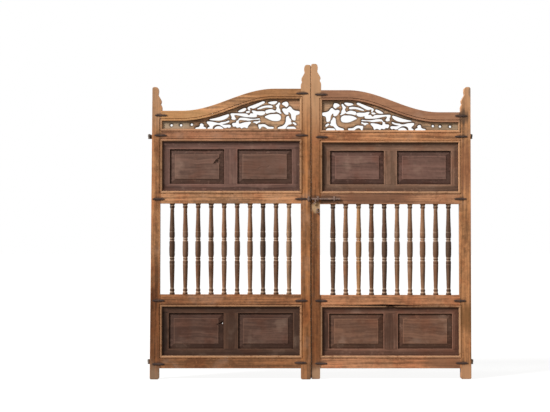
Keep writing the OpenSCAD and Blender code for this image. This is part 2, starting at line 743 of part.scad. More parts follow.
module lower_panel_frame(side) {
  color(dark_teak) on_leaf(side)
    panel_frame(side, low_0, low_1(side),
      lower_outer_m, lower_inner_m, lower_bottom_m, lower_top_m, lower_muntin);
}

module lower_panel(side, x) {
  w = field_w(side, lower_outer_m, lower_inner_m, lower_muntin);
  raised_panel(x, x + w, low_0 + lower_bottom_m, low_1(side) - lower_top_m);
}

// The left leaf's outer lower panel is split, with a small hole right through its bevel.
module lower_panel_outer(side) {
  x = open_0(side) + lower_outer_m;
  hole_x = x + field_w(side, lower_outer_m, lower_inner_m, lower_muntin) - 10;
  hole_z = low_0 + lower_bottom_m + (lower_panel_h - lower_bottom_m - lower_top_m) * 0.714;
  color(dark_teak) on_leaf(side) difference() {
    lower_panel(side, x);
    if (side < 0) {
      plate(front, back) polygon([
        for (p = [[-1, -6], [3, -3], [4, 2], [0, 3], [-2, -2]])
        [hole_x + p[0], hole_z + p[1]]]);
      plate(front, tongue_front + 3) polygon([
        for (p = [[-46, -13], [-34, -12], [-14, -5], [0, 4], [5, 14], [0, 16], [-16, 4], [-34, -4]])
        [hole_x + p[0], hole_z + p[1]]]);
    }
  }
}

module lower_panel_inner(side) {
  w = field_w(side, lower_outer_m, lower_inner_m, lower_muntin);
  color(dark_teak) on_leaf(side) lower_panel(side, open_1 - lower_inner_m - w);
}

// Turned spindle: radius and height under the head rail, which stretch with the spindle.
turning = [
  [19.5, 0], [19.5, 5], [16.5, 10], [15.6, 14], [15.8, 16], [17.6, 20], [18.2, 24], [17.4, 28], [15.2, 33],
  [14.3, 38], [14.2, 46], [14.5, 60], [15.6, 110], [17.4, 160], [19.1, 203], [17.4, 206], [19.2, 209],
  [19.9, 232], [19.6, 244], [18.6, 249], [15.9, 253], [15.9, 256], [17.8, 259], [18.2, 262], [17.8, 265],
  [15.9, 268], [15.9, 271], [18.8, 276], [20.4, 284], [21, 318], [20.9, 345], [20.5, 376], [19.4, 387],
  [18.4, 391], [16.2, 395], [16.2, 398], [17.7, 401], [18.1, 406], [17.7, 411], [16, 414], [16, 417],
  [18.6, 422], [19.4, 430], [19.3, 442], [17.7, 444.5], [19.1, 447], [17.4, 520], [15.8, 580], [14.4, 617],
  [14.2, 622], [15.2, 627], [17.2, 632], [17.7, 637], [16.8, 642], [15, 647], [16.2, 651], [18.6, 657],
  [19.5, 662], [19.5, 669]];

module spindle(side, n) {
  widen = spindle_d / 2 / max([for (p = turning) p[0]]);
  lengthen = spindle_h / turning[len(turning) - 1][1];
  peg = peg_d / 2;
  color(turned_teak) on_leaf(side)
    translate([spindle_x(side, n), 0, turned_1(side)])
      rotate_extrude() polygon(concat(
        [[0, -spindle_h - peg_l], [0, peg_l], [peg, peg_l], [peg, 0]],
        [for (p = turning) [p[0] * widen, -p[1] * lengthen]],
        [[peg, -spindle_h], [peg, -spindle_h - peg_l]]));
}

// Forged irons.
module iron_cramps(side) {
  half = cramp_l / 2;
  color(iron) on_leaf(side) {
    for (c = cramps(side)) translate([c[0], 0, c[1]]) plate(front - cramp_t, front) polygon([
      [-half, -cramp_h / 4], [-half + 14, -cramp_h / 2], [half - 14, -cramp_h / 2], [half, -cramp_h / 4],
      [half, cramp_h / 4], [half - 14, cramp_h / 2], [-half + 14, cramp_h / 2], [-half, cramp_h / 4]]);
    prongs(side, 0);
  }
}

module tang(side, z, fit) {
  board(pin_x(side) + pin_r + 1, x_out(side) + tang_l + fit,
    pin_back - tang_t / 2 - fit, pin_back + tang_t / 2 + fit,
    z + 2 - fit, z + 2 + tang_h + fit);
}

module hinge_eyes(side) {
  color(iron) on_leaf(side) for (z = hinge_zs) difference() {
    union() {
      translate([pin_x(side), pin_back, z - 1]) cylinder(r = eye_r, h = eye_h);
      tang(side, z, 0);
    }
    translate([pin_x(side), pin_back, z - 5]) cylinder(r = pin_r + pin_fit, h = eye_h + 10);
  }
}

// Fixed halves of the hinges: a pin on a lug, and a plate behind the stile.
module pintles(side) {
  y0 = back + swing_fit;
  edge = pin_x(side) - lug_r;
  near = x_out(side) + plate_in;
  far = near + 30;
  hole_x = near + 15;
  color(iron) on_leaf(side) for (z = hinge_zs) {
    lug_top = z - 1 - swing_fit;
    difference() {
      union() {
        translate([pin_x(side), pin_back, lug_top - lug_h]) cylinder(r = lug_r, h = lug_h);
        board(edge, pin_x(side) + lug_r, pin_back, y0 + 1, lug_top - lug_h, lug_top);
        translate([pin_x(side), pin_back, lug_top - 2]) cylinder(r = pin_r, h = eye_h + 5);
        plate(y0, y0 + plate_t) polygon([
          [edge, lug_top - lug_h], [near, lug_top - lug_h], [near, z - plate_h / 2], [far, z - plate_h / 2],
          [far, z + plate_h / 2], [near, z + plate_h / 2], [near, z + eye_h - 2], [edge, z + eye_h - 2]]);
      }
      for (way = [-1, 1])
        translate([hole_x, y0 - 1, z + way * screw_pitch / 2]) rotate([-90, 0, 0])
          cylinder(r = screw_r, h = plate_t + 2);
    }
  }
}

// Latch: the bolt slides in two guides on the right leaf and reaches into the keeper on the left one.
module latch_bolt() {
  h = bolt_h / 2;
  color(iron) translate([0, y_mid, 0]) plate(bolt_front, bolt_back) {
    translate([0, bolt_z]) {
      polygon([
        [bolt_x, -h + 2], [bolt_x + 3, -h], [bolt_x + bolt_l, -h],
        [bolt_x + bolt_l, h], [bolt_x + 3, h], [bolt_x, h - 2]]);
      translate([bolt_x + handle_x, -h]) polygon(concat([[5.5, 1], [-5, 1]], smooth_line([
        [-5, 0], [-4.5, -11], [-6, -20], [-10, -24.5], [-15.5, -26], [-15, -32], [-8, -31.5], [0, -27],
        [4.5, -17],
        [5.5, 0]], 3)));
    }
  }
}

module strap_feet(x, gap) {
  for (way = [-1, 1]) translate([x, 0, bolt_z]) mirror([0, 0, way > 0 ? 0 : 1])
    board(-strap_w / 2, strap_w / 2, front - foot_t, front, gap, strap_reach);
}

module bolt_guides() {
  gap = bolt_h / 2 + bolt_fit;
  color(iron) translate([0, y_mid, 0]) for (x = guide_xs) {
    strap_feet(x, gap);
    difference() {
      board(x - strap_w / 2, x + strap_w / 2, strap_front, front,
        bolt_z - gap - guide_wall, bolt_z + gap + guide_wall);
      board(x - strap_w, x + strap_w, strap_in, bolt_back + bolt_fit, bolt_z - gap, bolt_z + gap);
    }
  }
}

module bolt_keeper() {
  gap = bolt_h / 2 + keeper_room;
  color(iron) translate([0, y_mid, 0]) {
    strap_feet(-keeper_x, 0);
    board(-keeper_x - 11, -keeper_x + 13, front - foot_t, front, bolt_z - cramp_h / 2, bolt_z + cramp_h / 2);
    difference() {
      board(-keeper_x - strap_w / 2, -keeper_x + strap_w / 2, strap_front, front,
        bolt_z - gap - guide_wall, bolt_z + gap + guide_wall);
      board(-keeper_x - strap_w, -keeper_x + strap_w, strap_in, front + 1, bolt_z - gap, bolt_z + gap);
    }
  }
}

module pull_ring() {
  color(iron) translate([ring_x, y_mid + ring_y, ring_z]) rotate([90, 0, 0])
    rotate_extrude() translate([ring_r, 0]) circle(r = ring_wire_r);
}

module ring_shank(fit) {
  translate([ring_x, front - 3, ring_eye_z]) rotate([-90, 0, 0]) cylinder(r = 2.5 + fit, h = 23 + fit);
}

module pull_ring_eye() {
  color(iron) translate([0, y_mid, 0]) {
    translate([ring_x, ring_y, ring_eye_z]) rotate([0, 90, 0])
      rotate_extrude() translate([ring_eye_r, 0]) circle(r = ring_eye_wire_r);
    ring_shank(0);
    translate([ring_x, front - 1.5, ring_eye_z]) rotate([-90, 0, 0]) cylinder(r = 9, h = 1.5);
  }
}

for (side = [-1, 1]) {
  leaf = side < 0 ? "left_" : "right_";
  outer_stile(side);
  inner_stile(side);
  top_rail(side);
  waist_rail(side);
  head_rail(side);
  foot_rail(side);
  bottom_rail(side);
  fretwork(side);
  upper_panel_frame(side);
  upper_panel_outer(side);
  upper_panel_inner(side);
  lower_panel_frame(side);
  lower_panel_outer(side);
  lower_panel_inner(side);
  iron_cramps(side);
  hinge_eyes(side);
  pintles(side);
  for (n = [1 : spindle_n]) spindle(side, n);
}
latch_bolt();
bolt_guides();
bolt_keeper();
pull_ring();
pull_ring_eye();
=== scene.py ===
"""A pair of old teak gate leaves: weathered frame, dark raised panels, turned spindles,
pierced carving and forged irons."""
import math
import random

import bpy
import bmesh
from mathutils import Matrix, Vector, kdtree, noise


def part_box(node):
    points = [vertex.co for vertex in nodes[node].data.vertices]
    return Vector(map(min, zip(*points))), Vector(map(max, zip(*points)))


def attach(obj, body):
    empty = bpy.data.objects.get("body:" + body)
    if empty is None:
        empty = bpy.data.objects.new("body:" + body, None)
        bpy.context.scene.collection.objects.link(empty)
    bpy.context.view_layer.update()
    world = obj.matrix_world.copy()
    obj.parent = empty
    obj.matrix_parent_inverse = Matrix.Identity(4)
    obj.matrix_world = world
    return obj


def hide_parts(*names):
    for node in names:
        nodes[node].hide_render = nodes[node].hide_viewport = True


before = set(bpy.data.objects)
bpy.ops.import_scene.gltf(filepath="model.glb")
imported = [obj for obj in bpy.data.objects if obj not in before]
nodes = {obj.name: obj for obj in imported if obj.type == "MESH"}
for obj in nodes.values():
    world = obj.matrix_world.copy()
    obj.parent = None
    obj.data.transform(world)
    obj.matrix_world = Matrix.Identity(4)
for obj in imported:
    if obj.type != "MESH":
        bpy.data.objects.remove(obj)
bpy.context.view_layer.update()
scene = bpy.context.scene
MM = 0.001
LEAVES = ("left", "right")

# Depths in the row frame: the front of stiles and rails, and both faces of the carving.
WOOD_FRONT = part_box("left_head_rail")[0].y
CARVING_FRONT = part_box("left_fretwork")[0].y
CARVING_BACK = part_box("left_fretwork")[1].y


# Colours and shader nodes.
def srgb(code):
    """An sRGB hex colour as linear RGBA."""
    parts = [int(code[i:i + 2], 16) / 255 for i in (1, 3, 5)]
    return [c / 12.92 if c <= 0.04045 else ((c + 0.055) / 1.055) ** 2.4 for c in parts] + [1.0]


def shade_of(code, lift):
    """An sRGB hex colour made darker or lighter."""
    parts = [round(int(code[i:i + 2], 16) * lift) for i in (1, 3, 5)]
    return "#" + "".join("%02x" % max(0, min(255, part)) for part in parts)


def add(tree, kind, settings=None, **inputs):
    """Adds a node. Settings are its properties; each input is a value or another node's output."""
    made = tree.nodes.new("ShaderNode" + kind)
    for key, value in (settings or {}).items():
        setattr(made, key, value)
    for key, value in inputs.items():
        numbered = key[0] == "i" and key[1:].isdigit()
        socket = made.inputs[int(key[1:])] if numbered else made.inputs[key.replace("_", " ")]
        if isinstance(value, bpy.types.NodeSocket):
            tree.links.new(value, socket)
        else:
            socket.default_value = value
    return made


def new_finish(name):
    """An empty material and its node tree."""
    made = bpy.data.materials.new(name)
    made.use_nodes = True
    made.node_tree.nodes.clear()
    return made, made.node_tree


SMOOTH = {"interpolation_type": "SMOOTHSTEP"}

# Marks of the grain: size across and along in millimetres, detail, and what sets its pattern apart.
GRAIN = {
    "figure": ((14, 620), 2, 0),
    "fibre": ((3.2, 160), 2, 5),     # real fibres are about 0.3 mm wide: drawn coarser so that they show
    "patch": ((95, 520), 3, 9),
    "streak": ((26, 1500), 2, 21),
    "crack": ((46, 1900), 0, 14),
}
CRACK_EDGE = (0.016, 0.003)          # how near the line between two cracks' strips it starts and is full
CRACKED_PATCH = (0.56, 0.66)         # cracks open only in the driest patches

# Sizes of the marks that lie over the grain, in millimetres.
MOTTLE_MM = 30
BLUSH_MM = 170
CLOUD_MM = 111
WAVE_MM = 250
SPECK_MM = 11
ARRIS_MM = 5
CORNER_MM = 28
LIP_MM = 8
SPOT_DEPTH_MM = 40
THIN_THICK_MM = (14.4, 20.8)
CUT_LINE_MM = 9.0
BUMP_MM = 0.9

# What age lays on the wood, and painted shade in its corners and sunk lines.
FLUSH = "#f0cdbb"                    # redder heartwood
DUST = "#b89a86"
BLEACHED = "#d0a27a"
DAMP = "#86623c"
SPLASHED = "#9a8068"
BLOOM = "#a08478"
# Grime and painted shade in corners; dark in cracks, and grime with painted shade in sunk lines.
GRIME_AND_SHADE = "#26170e"
SOOT_AND_CREASE_SHADE = "#20130b"                     # in sunk lines and cracks
# A pale painted highlight, with dust, in the turnings' necks.
NECK_HIGHLIGHT = "#c0a68e"
CUT_LINE = "#3a281a"
CUT_EDGE = "#4a3a2e"
CUT_WALL = "#2a1b11"


def grain_of(tree, board, height, along, rails, seed):
    """The marks along the grain, each as a socket. In a frame that is one solid the grain lies across
    in its rails, which are under the first and over the second of the two heights."""
    if rails:
        under = add(tree, "Math", {"operation": "LESS_THAN"}, i0=height, i1=rails[0]).outputs[0]
        over = add(tree, "Math", {"operation": "GREATER_THAN"}, i0=height, i1=rails[1]).outputs[0]
        in_rail = add(tree, "Math", {"operation": "ADD"}, i0=under, i1=over).outputs[0]
    marks = {}
    for mark, (sizes, detail, shift) in GRAIN.items():
        spaces = []
        for axis in ([along, "x"] if rails else [along]):
            scale = [1000 / sizes[0]] * 3
            scale["xyz".index(axis)] = 1000 / sizes[1]
            start = (seed + shift, 0.7 * seed, 1.3 * seed)
            spaces.append(add(tree, "Mapping", Vector=board, Scale=scale, Location=start).outputs[0])
        space = spaces[0]
        if rails:
            space = add(tree, "Mix", {"data_type": "RGBA"}, i0=in_rail, i6=spaces[0], i7=spaces[1]).outputs[2]
        if mark == "crack":
            lines = add(tree, "TexVoronoi", {"feature": "DISTANCE_TO_EDGE"}, Vector=space, Scale=1.0)
            thin = add(tree, "MapRange", SMOOTH, i0=lines.outputs["Distance"], i1=CRACK_EDGE[0],
                       i2=CRACK_EDGE[1]).outputs[0]
            here = add(tree, "MapRange", i0=marks["patch"], i1=CRACKED_PATCH[0],
                       i2=CRACKED_PATCH[1]).outputs[0]
            marks[mark] = add(tree, "Math", {"operation": "MULTIPLY"}, i0=thin, i1=here).outputs[0]
        else:
            marks[mark] = add(tree, "TexNoise", Vector=space, Scale=1.0, Detail=detail,
                              Roughness=0.6).outputs["Fac"]
    return marks


def edges_of(tree):
    """How open a place is to the air, where a line is sunk, and where an arris stands out to be rubbed.
    The first two set where grime and painted shade go.
    """
    open_air = add(tree, "AmbientOcclusion", {"samples": 8}, Distance=CORNER_MM * MM).outputs["AO"]
    rounded = add(tree, "Bevel", {"samples": 6}, Radius=ARRIS_MM * MM).outputs[0]
    face = add(tree, "NewGeometry").outputs["Normal"]
    agree = add(tree, "VectorMath", {"operation": "DOT_PRODUCT"}, i0=rounded, i1=face).outputs["Value"]
    edge = add(tree, "MapRange", SMOOTH, i0=agree, i1=0.985, i2=0.86).outputs[0]
    proud = add(tree, "MapRange", SMOOTH, i0=open_air, i1=0.55, i2=0.85).outputs[0]
    bare = add(tree, "Math", {"operation": "MULTIPLY"}, i0=edge, i1=proud).outputs[0]
    deep_in = add(tree, "MapRange", SMOOTH, i0=open_air, i1=0.75, i2=0.5).outputs[0]
    sunk = add(tree, "Math", {"operation": "MULTIPLY"}, i0=edge, i1=deep_in).outputs[0]
    return open_air, sunk, bare


def spot_coats(tree, place, figure, spot_marks):
    """Stains, and painted shade, round a spot (x, z), as far as they reach across and up in millimetres, torn
    by the figure.
    """
    coats = []
    for x, z, reach_x, reach_z, colour, strength in spot_marks:
        size = (reach_x * MM, SPOT_DEPTH_MM * MM, reach_z * MM)
        near = add(tree, "Mapping", {"vector_type": "TEXTURE"}, Vector=place, Location=(x, WOOD_FRONT, z),
                   Scale=size).outputs[0]
        reach = add(tree, "VectorMath", {"operation": "LENGTH"}, Vector=near).outputs["Value"]
        torn = add(tree, "Math", {"operation": "MULTIPLY_ADD"}, i0=figure, i1=0.9, i2=reach).outputs[0]
        coats.append((torn, 1.5, 0.95, colour, strength, "MIX"))
    return coats


def band_coats(tree, place, mottle, bands):
    """Bands round a rectangle, from near to far outside its edge in millimetres, broken by the mottling."""
    coats = []
    for x0, x1, z0, z1, near, far, soft, colour, strength in bands:
        off = None
        for axis, low_end, high_end in ((0, x0, x1), (2, z0, z1)):
            part = add(tree, "SeparateXYZ", Vector=place).outputs[axis]
            for i0, i1 in ((low_end, part), (part, high_end)):
                over = add(tree, "Math", {"operation": "SUBTRACT"}, i0=i0, i1=i1).outputs[0]
                if off:
                    over = add(tree, "Math", {"operation": "MAXIMUM"}, i0=off, i1=over).outputs[0]
                off = over
        starts = add(tree, "MapRange", SMOOTH, i0=off, i1=(near - soft) * MM, i2=near * MM).outputs[0]
        ends = add(tree, "MapRange", SMOOTH, i0=off, i1=(far + 3) * MM, i2=far * MM).outputs[0]
        broken = add(tree, "MapRange", SMOOTH, i0=mottle, i1=0.28, i2=0.48).outputs[0]
        inside = add(tree, "Math", {"operation": "MULTIPLY"}, i0=starts, i1=ends).outputs[0]
        # A band's share: wear for the pale beads and rims, painted shade with grime for the frame and bevel
        # bands.
        worn = add(tree, "Math", {"operation": "MULTIPLY"}, i0=inside, i1=broken).outputs[0]
        coats.append((worn, 0, 1, colour, strength, "MIX"))
    return coats


def old_teak(name, along, tone, seed, deep=0.8, pale=1.17, rails=None, spot_marks=(), bands=(), sun=0.0,
             damp=0.0, bloom=0.0, rub=0.7, corner=0.7, redden=0.5, streak=0.2, split=0.35, specks=0.0,
             sway=6, carved=False, turned=False, rough=0.62):
    """Old teak, planed, turned or carved, and weathered under worn oil or stain. The eye gets long figure
    lines, dark streaks, paler and redder patches, fine cracks, grime and painted shade in corners and sunk
    lines, pale rubbed arrises, painted light and shade on turnings, sun-bleached heads, damp-darkened feet
    and rust-black staining beside the irons. The seed sets where a board's patterns start, so that no two
    boards are cut from one place."""
    made, tree = new_finish(name)
    place = add(tree, "TexCoord").outputs["Object"]
    height = add(tree, "SeparateXYZ", Vector=place).outputs["Z"]
    waves = add(tree, "TexNoise", Vector=place, Scale=1000 / WAVE_MM, Detail=2.0).outputs["Color"]
    board = add(tree, "Mix", {"data_type": "RGBA", "blend_type": "LINEAR_LIGHT"}, i0=sway * MM, i6=place,
                i7=waves).outputs[2]
    marks = grain_of(tree, board, height, along, rails, seed)
    for mark, size, detail, roughness, start in (("mottle", MOTTLE_MM, 4.0, 0.6, (seed, seed, 0)),
                                                 ("blush", BLUSH_MM, 3.0, 0.55, (0, seed, seed))):
        moved = add(tree, "Mapping", Vector=place, Location=start).outputs[0]
        marks[mark] = add(tree, "TexNoise", Vector=moved, Scale=1000 / size, Detail=detail,
                          Roughness=roughness).outputs["Fac"]
    ragged = add(tree, "Math", {"operation": "MULTIPLY_ADD"}, i0=marks["patch"], i1=0.5, i2=height).outputs[0]

    # Figure, fibre, patches and mottling add up to one tone between the deep, middle and pale wood.
    total = marks["figure"]
    for mark, share in (("fibre", 0.4), ("patch", 0.9), ("mottle", 0.5)):
        centred = add(tree, "Math", {"operation": "SUBTRACT"}, i0=marks[mark], i1=0.5).outputs[0]
        total = add(tree, "Math", {"operation": "MULTIPLY_ADD"}, i0=centred, i1=share, i2=total).outputs[0]
    band = add(tree, "ValToRGB", Fac=total)
    band.color_ramp.elements.new(0.5)
    for element, (spot, lift) in zip(band.color_ramp.elements, ((0.32, deep), (0.5, 1.0), (0.7, pale))):
        element.position = spot
        element.color = srgb(shade_of(tone, lift))

    # What age laid over the wood, first to last: where it lies, from none to full, colour and strength.
    coats = [(marks["streak"], 0.5, 0.7, shade_of(tone, 0.58), streak, "MIX"),
             (marks["blush"], 0.48, 0.66, FLUSH, redden, "MULTIPLY"),
             (marks["blush"], 0.44, 0.3, DUST, 0.18, "MIX")]
    if specks:
        pits = add(tree, "TexNoise", Vector=board, Scale=1000 / SPECK_MM, Detail=3.0,
                   Roughness=0.6).outputs["Fac"]
        coats += [(pits, 0.56, 0.74, shade_of(tone, 0.6), specks, "MIX"),
                  (pits, 0.42, 0.28, shade_of(tone, 1.25), specks, "MIX")]
    if sun:
        coats.append((ragged, 1.95, 2.45, BLEACHED, sun, "MIX"))
    if damp:
        coats += [(ragged, 1.3, 0.75, DAMP, damp, "MULTIPLY"),
                  (ragged, 0.42, 0.3, SPLASHED, 0.8 * damp, "MIX")]
    if bloom:
        cloud = add(tree, "TexNoise", Vector=place, Scale=1000 / CLOUD_MM, Detail=5.0,
                    Roughness=0.65).outputs["Fac"]
        coats.append((cloud, 0.48, 0.75, BLOOM, bloom, "MIX"))
    if turned:
        # Painted light and shade on the turning: thin parts and necks are painted paler, the necks with a
        # pale painted highlight and dust, and thick parts and beads darker.
        girth = add(tree, "Attribute", {"attribute_name": "girth_mm"}).outputs["Fac"]
        bead = add(tree, "Attribute", {"attribute_name": "bead_mm"}).outputs["Fac"]
        coats += [(girth, 18.0, THIN_THICK_MM[0], shade_of(tone, 1.12), 0.6, "MIX"),
                  (girth, 18.6, THIN_THICK_MM[1], shade_of(tone, 0.8), 0.5, "MIX"),
                  (bead, -0.35, -1.4, NECK_HIGHLIGHT, 0.55, "MIX"),
                  (bead, 0.3, 1.3, shade_of(tone, 0.6), 0.6, "MIX")]
    open_air, sunk, bare = edges_of(tree)
    # Grime and painted shade in corners and sunk lines, then pale rubbed arrises.
    coats += [(open_air, 0.75, 0.3, GRIME_AND_SHADE, corner, "MIX"), (sunk, 0, 1, SOOT_AND_CREASE_SHADE, corner, "MIX"),
              (bare, 0, 1, shade_of(tone, 1.0 + 1.6 * (pale - 1.0)), rub, "MIX")]
    coats += spot_coats(tree, place, marks["figure"], spot_marks)
    coats += band_coats(tree, place, marks["mottle"], bands)
    coats.append((marks["crack"], 0, 1, SOOT_AND_CREASE_SHADE, split, "MIX"))
    relief = add(tree, "Math", {"operation": "MULTIPLY_ADD"}, i0=marks["crack"], i1=-2.0,
                 i2=marks["fibre"]).outputs[0]
    if carved:
        # A line that the carver cut inside every outline, and shade on the rounded edge.
        rim = add(tree, "Attribute", {"attribute_name": "rim_mm"}).outputs["Fac"]
        off = add(tree, "Math", {"operation": "SUBTRACT"}, i0=rim, i1=CUT_LINE_MM).outputs[0]
        size = add(tree, "Math", {"operation": "ABSOLUTE"}, i0=off).outputs[0]
        line = add(tree, "MapRange", SMOOTH, i0=size, i1=1.8, i2=0.6).outputs[0]
        coats += [(line, 0, 1, CUT_LINE, 0.35, "MIX"), (rim, 11.0, 3.0, CUT_EDGE, 0.6, "MIX"),
                  (rim, 5.0, 1.0, CUT_WALL, 0.7, "MIX")]
        relief = add(tree, "Math", {"operation": "MULTIPLY_ADD"}, i0=line, i1=-1.5, i2=relief).outputs[0]

    wood = band.outputs[0]
    for where, none, full, colour, strength, blend in coats:
        share = add(tree, "MapRange", SMOOTH, i0=where, i1=none, i2=full, i4=strength).outputs[0]
        wood = add(tree, "Mix", {"data_type": "RGBA", "blend_type": blend}, i0=share, i6=wood,
                   i7=srgb(colour)).outputs[2]
    dull = add(tree, "MapRange", i0=marks["figure"], i1=0.3, i2=0.7, i3=rough + 0.12,
               i4=rough - 0.08).outputs[0]
    skin = add(tree, "Bump", Strength=0.45, Distance=BUMP_MM * MM, Height=relief).outputs[0]
    body = add(tree, "BsdfPrincipled", Base_Color=wood, Roughness=dull, Specular_IOR_Level=0.14, Normal=skin)
    add(tree, "OutputMaterial", Surface=body.outputs[0])
    return made


# Sizes of the iron's marks in millimetres: patches of rust, pits, hammer blows, worn arris and bump.
RUST_MM = 22
PIT_MM = 2.5
BLOW_MM = 11
IRON_ARRIS_MM = 1.6
IRON_BUMP_MM = 0.8


def forged_iron(name, seed, scale_tones, wear_and_highlight_tone, worn):
    """Forged iron, hammered and left bare outdoors. The eye gets dull brown-black scale with shallow
    hammer marks, rust in patches and paler worn arrises that also carry a painted highlight."""
    made, tree = new_finish(name)
    place = add(tree, "TexCoord").outputs["Object"]
    moved = add(tree, "Mapping", Vector=place, Location=(seed, seed, seed)).outputs[0]
    rust = add(tree, "TexNoise", Vector=moved, Scale=1000 / RUST_MM, Detail=6.0,
               Roughness=0.65).outputs["Fac"]
    pits = add(tree, "TexNoise", Vector=moved, Scale=1000 / PIT_MM, Detail=3.0).outputs["Fac"]
    blows = add(tree, "TexVoronoi", {"feature": "SMOOTH_F1"}, Vector=moved, Scale=1000 / BLOW_MM)
    band = add(tree, "ValToRGB", Fac=rust)
    band.color_ramp.elements.new(0.5)
    for element, spot, colour in zip(band.color_ramp.elements, (0.3, 0.52, 0.72), scale_tones):
        element.position = spot
        element.color = srgb(colour)
    rounded = add(tree, "Bevel", {"samples": 6}, Radius=IRON_ARRIS_MM * MM).outputs[0]
    face = add(tree, "NewGeometry").outputs["Normal"]
    agree = add(tree, "VectorMath", {"operation": "DOT_PRODUCT"}, i0=rounded, i1=face).outputs["Value"]
    # Worn arrises with a painted highlight; worn sets how strong.
    edge = add(tree, "MapRange", SMOOTH, i0=agree, i1=0.98, i2=0.8, i4=worn).outputs[0]
    scale = add(tree, "Mix", {"data_type": "RGBA"}, i0=edge, i6=band.outputs[0],
                i7=srgb(wear_and_highlight_tone)).outputs[2]
    dull = add(tree, "MapRange", i0=rust, i1=0.35, i2=0.7, i3=0.48, i4=0.85).outputs[0]
    metal = add(tree, "MapRange", i0=rust, i1=0.45, i2=0.68, i3=0.5, i4=0.1).outputs[0]
    rough = add(tree, "Math", {"operation": "MULTIPLY_ADD"}, i0=pits, i1=0.5,
                i2=blows.outputs["Distance"]).outputs[0]
    skin = add(tree, "Bump", Strength=0.5, Distance=IRON_BUMP_MM * MM, Height=rough).outputs[0]
    body = add(tree, "BsdfPrincipled", Base_Color=scale, Metallic=metal, Roughness=dull, Normal=skin)
    add(tree, "OutputMaterial", Surface=body.outputs[0])
    return made


# Where the joint cramps sit on the boards, read from the irons themselves.
CRAMP_REACH = (100 * MM, 30 * MM)    # no two cramps of a leaf lie so near each other, across and up
CRAMP_MARGIN = 40 * MM               # a cramp stains each board that lies this near its middle
CRAMP_PROUD = 1 * MM                 # its face stands out of the wood by more than this


def cramp_spots(node):
    """Middles of the separate flat irons of a node, as (x, z)."""
    irons = []
    for corner in (v.co for v in nodes[node].data.vertices if v.co.y <= WOOD_FRONT - CRAMP_PROUD):
        for iron in irons:
            if abs(iron[0].x - corner.x) < CRAMP_REACH[0] and abs(iron[0].z - corner.z) < CRAMP_REACH[1]:
                iron.append(corner)
                break
        else:
            irons.append([corner])
    return [((min(c.x for c in iron) + max(c.x for c in iron)) / 2,
             (min(c.z for c in iron) + max(c.z for c in iron)) / 2) for iron in irons]


def spots_on(node, spots):
    """The spots that lie on a board or just beside it."""
    low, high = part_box(node)
    return [(x, z) for x, z in spots if low.x - CRAMP_MARGIN < x < high.x + CRAMP_MARGIN
            and low.z - CRAMP_MARGIN < z < high.z + CRAMP_MARGIN]


def dress(node, finish):
    """Gives a CAD piece one finish."""
    piece = nodes[node]
    piece.data.materials.clear()
    piece.data.materials.append(finish)


SAME_PLACE = 1e-5                    # points nearer than this, in metres, are one point
SAME_FACE = 0.01                     # faces that turn by less than this, in radians, are one face
ARRIS_ANGLE = 0.6                    # a turn sharper than this is an arris
BEVEL_ANGLE = 0.1                    # on a raised panel the slight turns count too


def ease_arrises(node, width, sharper_than=ARRIS_ANGLE):
    """Rounds the arrises that turn by more than an angle, by a width in millimetres, as handling does."""
    piece = nodes[node]
    weld = piece.modifiers.new("one_skin", "WELD")
    weld.merge_threshold = SAME_PLACE
    flat = piece.modifiers.new("whole_faces", "DECIMATE")
    flat.decimate_type = "DISSOLVE"
    flat.angle_limit = SAME_FACE
    ease = piece.modifiers.new("eased_arris", "BEVEL")
    ease.width = width * MM
    ease.segments = 2
    ease.limit_method = "ANGLE"
    ease.angle_limit = sharper_than
    ease.use_clamp_overlap = False
    shade = piece.modifiers.new("even_shade", "WEIGHTED_NORMAL")
    shade.weight = 100


# Frame boards: the tone of each as it has aged, how damp has darkened its foot, how sun bleached its head.
BOARDS = {
    "left_outer_stile": ("#a4744e", 0.75, 0.45),
    "left_inner_stile": ("#9c6942", 0.25, 0.75),
    "left_top_rail": ("#b9875e", 0, 0),
    "left_waist_rail": ("#9a6b4e", 0, 0),
    "left_head_rail": ("#af7f5b", 0, 0),
    "left_foot_rail": ("#9a6846", 0, 0),
    "left_bottom_rail": ("#8e603f", 0, 0),
    "right_outer_stile": ("#a8764f", 0.15, 0.8),
    "right_inner_stile": ("#8b5d3c", 0.5, 0.85),
    "right_top_rail": ("#a6785b", 0, 0),
    "right_waist_rail": ("#b17c56", 0, 0),
    "right_head_rail": ("#9f7254", 0, 0),
    "right_foot_rail": ("#a87553", 0, 0),
    "right_bottom_rail": ("#ad7a58", 0, 0),
}
LIVELY = {"deep": 0.76, "pale": 1.2, "specks": 0.5}
QUIET = {"deep": 0.92, "pale": 1.06, "specks": 0.2, "redden": 0.15, "streak": 0.05}
QUIET_BOARDS = ("right_top_rail",)

# Stains, and painted shade in the meeting gap and on the right outer finial: x and z in metres, reach
# across and up in millimetres, colour and strength.
CRAMP_STAIN = (52, 20, "#3d2e27", 0.55)
